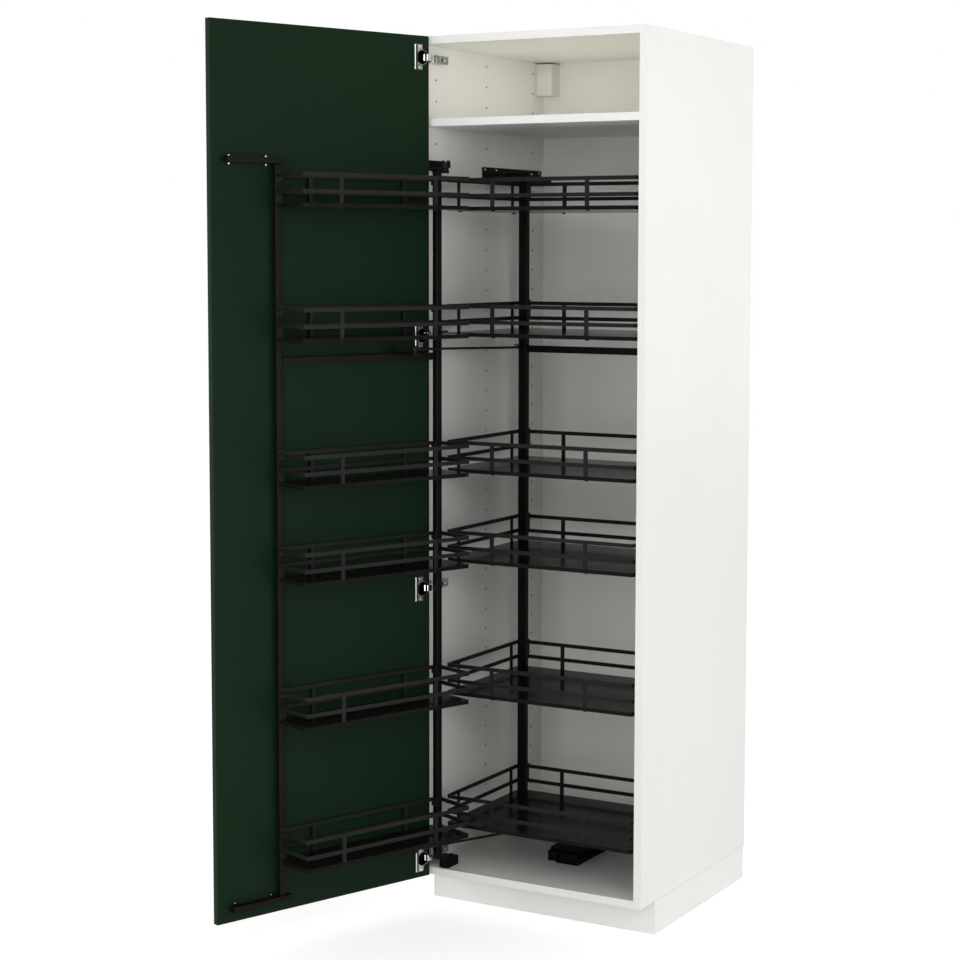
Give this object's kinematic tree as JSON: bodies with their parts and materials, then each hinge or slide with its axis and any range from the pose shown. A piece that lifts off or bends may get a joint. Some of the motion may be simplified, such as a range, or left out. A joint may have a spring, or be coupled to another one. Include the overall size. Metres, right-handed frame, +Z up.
{
  "type": "tall kitchen larder cabinet with a swing-out fitting",
  "caption": "Tall white kitchen cabinet with a dark green door; opening it swings out a frame of railed baskets and draws the shelves behind it forward.",
  "frame": {"origin": "on the floor, at the middle of the plinth's front board", "axes": "+X to the right seen from the front, +Y to the back wall, +Z up; the door stands open at rest"},
  "size_m": [0.7817, 1.1709, 2.08],
  "materials": {
    "melamine_white": "smooth white melamine-faced board",
    "door_lacquer": "matt dark green lacquer on board",
    "plinth_board": "smooth white board",
    "dark_steel": "satin black powder coat",
    "tray_board": "smooth black laminated board",
    "zinc_steel": "bright zinc-plated steel",
    "white_plastic": "moulded white plastic",
    "black_plastic": "moulded black plastic"
  },
  "bodies": {
    "carcass": {"side_panel_left": "melamine_white", "side_panel_right": "melamine_white", "bottom_panel": "melamine_white", "top_panel": "melamine_white", "fixed_shelf": "melamine_white", "back_panel": "melamine_white", "plinth_front": "plinth_board", "plinth_returns": "plinth_board", "screw_legs": "black_plastic", "hanging_bracket_covers": "white_plastic", "hinge_plates": "zinc_steel", "hinge_arms": "zinc_steel", "pivot_block_bottom": "dark_steel", "pivot_bracket_top": "dark_steel", "wall_guide_bracket": "dark_steel", "floor_rail": "dark_steel"},
    "hinge_links": {"hinge_links": "zinc_steel"},
    "door": {"door_panel": "door_lacquer", "hinge_cups": "zinc_steel", "door_guide_top": "dark_steel", "door_guide_bottom": "dark_steel"},
    "front_frame": {"front_post_pivot": "dark_steel", "front_post_far": "dark_steel", "front_cross_rail": "dark_steel", "front_pivot_knuckles": "dark_steel", "front_guide_shoes": "black_plastic", "front_rod_brackets": "dark_steel", "front_basket_1": "dark_steel", "front_basket_2": "dark_steel", "front_basket_3": "dark_steel", "front_basket_4": "dark_steel", "front_basket_5": "dark_steel", "front_basket_6": "dark_steel", "front_tray_1": "tray_board", "front_tray_2": "tray_board", "front_tray_3": "tray_board", "front_tray_4": "tray_board", "front_tray_5": "tray_board", "front_tray_6": "tray_board"},
    "rear_frame": {"rear_post_left": "dark_steel", "rear_post_right": "dark_steel", "rear_cross_rail": "dark_steel", "rear_foot_bar": "dark_steel", "rear_carriage": "dark_steel", "rear_top_slider": "black_plastic", "rear_shelf_1": "dark_steel", "rear_shelf_2": "dark_steel", "rear_shelf_3": "dark_steel", "rear_shelf_4": "dark_steel", "rear_shelf_5": "dark_steel", "rear_shelf_6": "dark_steel", "rear_tray_1": "tray_board", "rear_tray_2": "tray_board", "rear_tray_3": "tray_board", "rear_tray_4": "tray_board", "rear_tray_5": "tray_board", "rear_tray_6": "tray_board"},
    "control_rods": {"control_rod_upper": "dark_steel", "control_rod_lower": "dark_steel"}
  },
  "joints": [
    {"name": "front_frame_swing", "type": "hinge", "parent": "carcass", "child": "front_frame", "pos_m": [-0.2302, -0.0718, 0.098], "axis": [0, 0, 1], "range_deg": [0, 110.5]},
    {"name": "hinge_link_swing", "type": "hinge", "parent": "carcass", "child": "hinge_links", "pos_m": [-0.26303, -0.07317, 0.098], "axis": [0, 0, 1], "range_deg": [-46.02, 0]},
    {"name": "door_swing", "type": "hinge", "parent": "hinge_links", "child": "door", "pos_m": [-0.26609, -0.10562, 0.098], "axis": [0, 0, 1], "range_deg": [0, 156.52]},
    {"name": "rear_frame_slide", "type": "slide", "parent": "carcass", "child": "rear_frame", "axis": [0, 1, 0], "range_m": [0, 0.18501]},
    {"name": "control_rod_swing", "type": "hinge", "parent": "front_frame", "child": "control_rods", "pos_m": [-0.22357, -0.21683, 0.098], "axis": [0, 0, 1], "range_deg": [-95.55, 0]}
  ],
  "couplings": [
    {"joint": "hinge_link_swing", "follows": "front_frame_swing", "ratio": -0.41645},
    {"joint": "door_swing", "follows": "front_frame_swing", "ratio": 1.4164},
    {"joint": "rear_frame_slide", "follows": "front_frame_swing", "m_per_rad": 0.095925},
    {"joint": "control_rod_swing", "follows": "front_frame_swing", "ratio": -0.86463}
  ]
}
